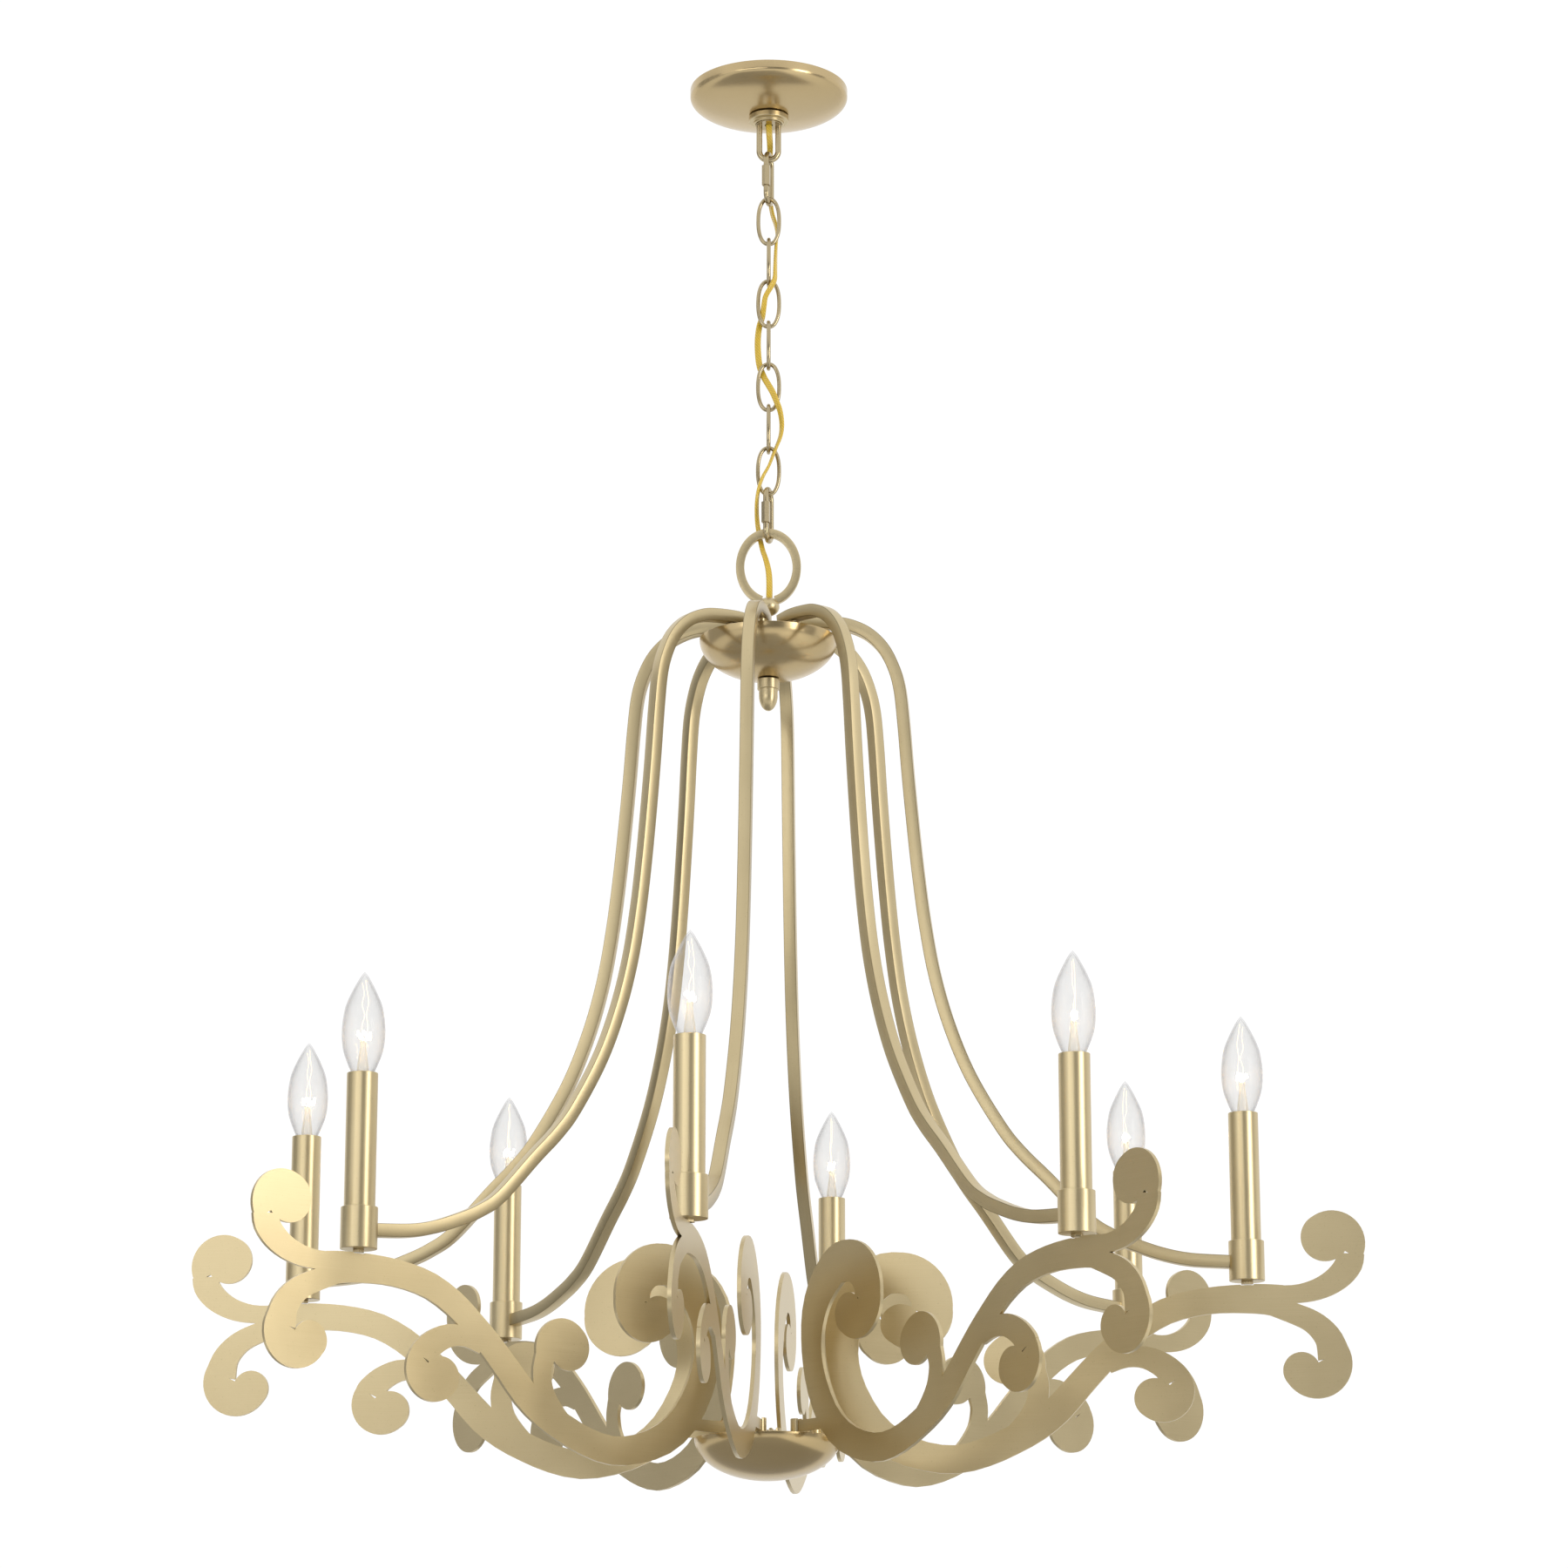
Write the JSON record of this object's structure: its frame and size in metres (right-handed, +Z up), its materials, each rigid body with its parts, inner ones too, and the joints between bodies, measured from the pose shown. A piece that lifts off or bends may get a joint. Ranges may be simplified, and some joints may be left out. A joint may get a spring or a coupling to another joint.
{
  "type": "multi arm chandelier",
  "caption": "Candle chandelier in brushed brass, with curved square arms, flat scroll plates, a chain and a canopy",
  "frame": {"origin": "the centre of the canopy's rim and of the crossbar on the ceiling plane", "axes": "+X and +Y lie in the ceiling plane along two of the arms, +Z is up out of the ceiling box"},
  "size_m": [0.8982, 0.8982, 1.1165],
  "materials": {
    "satin_brass": "satin brushed champagne brass with a fine grain along each piece",
    "chain_brass": "brighter, smoother pale brass on the chain and quick links",
    "zinc_steel": "plain zinc",
    "clear_glass": "clear thin glass",
    "cord_jacket": "translucent amber gold jacket",
    "socket_plastic": "matte",
    "nut_plastic": "matte"
  },
  "bodies": {
    "ceiling_mount": {"crossbar": "zinc_steel", "ground_screw": "zinc_steel", "canopy_nipple": "zinc_steel", "nipple_nut": "zinc_steel", "canopy": "satin_brass", "canopy_loop": "satin_brass", "wire_nuts": "nut_plastic", "power_cord": "cord_jacket"},
    "collar": {"collar_ring": "satin_brass"},
    "quick_link_top_body": {"quick_link_top": "chain_brass"},
    "quick_nut_top": {"quick_link_top_nut": "chain_brass"},
    "chain_1": {"link_1": "chain_brass"},
    "chain_2": {"link_2": "chain_brass"},
    "chain_3": {"link_3": "chain_brass"},
    "chain_4": {"link_4": "chain_brass"},
    "chain_5": {"link_5": "chain_brass"},
    "chain_6": {"link_6": "chain_brass"},
    "chain_7": {"link_7": "chain_brass"},
    "quick_link_bottom_body": {"quick_link_bottom": "chain_brass"},
    "quick_nut_bottom": {"quick_link_bottom_nut": "chain_brass"},
    "fixture": {"hanging_ring": "satin_brass", "hub_ball": "satin_brass", "hub_rod": "satin_brass", "hub_nuts": "zinc_steel", "hub_plate": "satin_brass", "hub_bowl": "satin_brass", "arm_screws": "zinc_steel", "arm_1": "satin_brass", "arm_2": "satin_brass", "arm_3": "satin_brass", "arm_4": "satin_brass", "arm_5": "satin_brass", "arm_6": "satin_brass", "arm_7": "satin_brass", "arm_8": "satin_brass", "scroll_1": "satin_brass", "scroll_2": "satin_brass", "scroll_3": "satin_brass", "scroll_4": "satin_brass", "scroll_5": "satin_brass", "scroll_6": "satin_brass", "scroll_7": "satin_brass", "scroll_8": "satin_brass", "candle_cups": "satin_brass", "candle_sleeves": "satin_brass", "candle_sockets": "socket_plastic", "cup_studs": "zinc_steel", "lower_plate": "satin_brass", "lower_bowl": "satin_brass", "lower_posts": "satin_brass", "lower_stud": "zinc_steel"},
    "finial_body": {"finial": "satin_brass"},
    "bulb_body_1": {"bulb_1": "clear_glass"},
    "bulb_body_2": {"bulb_2": "clear_glass"},
    "bulb_body_3": {"bulb_3": "clear_glass"},
    "bulb_body_4": {"bulb_4": "clear_glass"},
    "bulb_body_5": {"bulb_5": "clear_glass"},
    "bulb_body_6": {"bulb_6": "clear_glass"},
    "bulb_body_7": {"bulb_7": "clear_glass"},
    "bulb_body_8": {"bulb_8": "clear_glass"}
  },
  "joints": [
    {"name": "swing_0", "type": "hinge", "parent": "ceiling_mount", "child": "quick_link_top_body", "pos_m": [0, 0, -0.0599], "axis": [0.9877, 0.1564, 0], "range_deg": [-8, 8], "deforming": ["power_cord"]},
    {"name": "swing_1", "type": "hinge", "parent": "quick_link_top_body", "child": "chain_1", "pos_m": [0, 0, -0.0974], "axis": [0.1219, 0.9925, 0], "range_deg": [-8, 8]},
    {"name": "swing_2", "type": "hinge", "parent": "chain_1", "child": "chain_2", "pos_m": [0, 0, -0.132], "axis": [0.9877, 0.1564, 0], "range_deg": [-8, 8]},
    {"name": "swing_3", "type": "hinge", "parent": "chain_2", "child": "chain_3", "pos_m": [0, 0, -0.1671], "axis": [-0.1564, 0.9877, 0], "range_deg": [-8, 8]},
    {"name": "swing_4", "type": "hinge", "parent": "chain_3", "child": "chain_4", "pos_m": [0, 0, -0.2022], "axis": [0.9877, 0.1564, 0], "range_deg": [-8, 8]},
    {"name": "swing_5", "type": "hinge", "parent": "chain_4", "child": "chain_5", "pos_m": [0, 0, -0.2373], "axis": [-0.1564, 0.9877, 0], "range_deg": [-8, 8]},
    {"name": "swing_6", "type": "hinge", "parent": "chain_5", "child": "chain_6", "pos_m": [0, 0, -0.2724], "axis": [0.9877, 0.1564, 0], "range_deg": [-8, 8]},
    {"name": "swing_7", "type": "hinge", "parent": "chain_6", "child": "chain_7", "pos_m": [0, 0, -0.3075], "axis": [-0.1564, 0.9877, 0], "range_deg": [-8, 8]},
    {"name": "swing_8", "type": "hinge", "parent": "chain_7", "child": "quick_link_bottom_body", "pos_m": [0, 0, -0.3426], "axis": [0.9877, 0.1564, 0], "range_deg": [-8, 8]},
    {"name": "swing_9", "type": "hinge", "parent": "quick_link_bottom_body", "child": "fixture", "pos_m": [0, 0, -0.3809], "axis": [0.1219, 0.9925, 0], "range_deg": [-8, 8]},
    {"name": "collar_turn", "type": "hinge", "parent": "ceiling_mount", "child": "collar", "pos_m": [0, 0, -0.025], "axis": [0, 0, 1], "continuous": true},
    {"name": "quick_nut_top_slide", "type": "slide", "parent": "quick_link_top_body", "child": "quick_nut_top", "axis": [0, 0, 1], "range_m": [0, 0.0045]},
    {"name": "quick_nut_bottom_slide", "type": "slide", "parent": "quick_link_bottom_body", "child": "quick_nut_bottom", "axis": [0, 0, 1], "range_m": [0, 0.0045]},
    {"name": "finial_turn", "type": "hinge", "parent": "fixture", "child": "finial_body", "pos_m": [0, 0, -0.504], "axis": [0, 0, 1], "continuous": true},
    {"name": "bulb_pull_1", "type": "slide", "parent": "fixture", "child": "bulb_body_1", "axis": [0, 0, 1], "range_m": [0, 0.014]},
    {"name": "bulb_pull_2", "type": "slide", "parent": "fixture", "child": "bulb_body_2", "axis": [0, 0, 1], "range_m": [0, 0.014]},
    {"name": "bulb_pull_3", "type": "slide", "parent": "fixture", "child": "bulb_body_3", "axis": [0, 0, 1], "range_m": [0, 0.014]},
    {"name": "bulb_pull_4", "type": "slide", "parent": "fixture", "child": "bulb_body_4", "axis": [0, 0, 1], "range_m": [0, 0.014]},
    {"name": "bulb_pull_5", "type": "slide", "parent": "fixture", "child": "bulb_body_5", "axis": [0, 0, 1], "range_m": [0, 0.014]},
    {"name": "bulb_pull_6", "type": "slide", "parent": "fixture", "child": "bulb_body_6", "axis": [0, 0, 1], "range_m": [0, 0.014]},
    {"name": "bulb_pull_7", "type": "slide", "parent": "fixture", "child": "bulb_body_7", "axis": [0, 0, 1], "range_m": [0, 0.014]},
    {"name": "bulb_pull_8", "type": "slide", "parent": "fixture", "child": "bulb_body_8", "axis": [0, 0, 1], "range_m": [0, 0.014]}
  ]
}
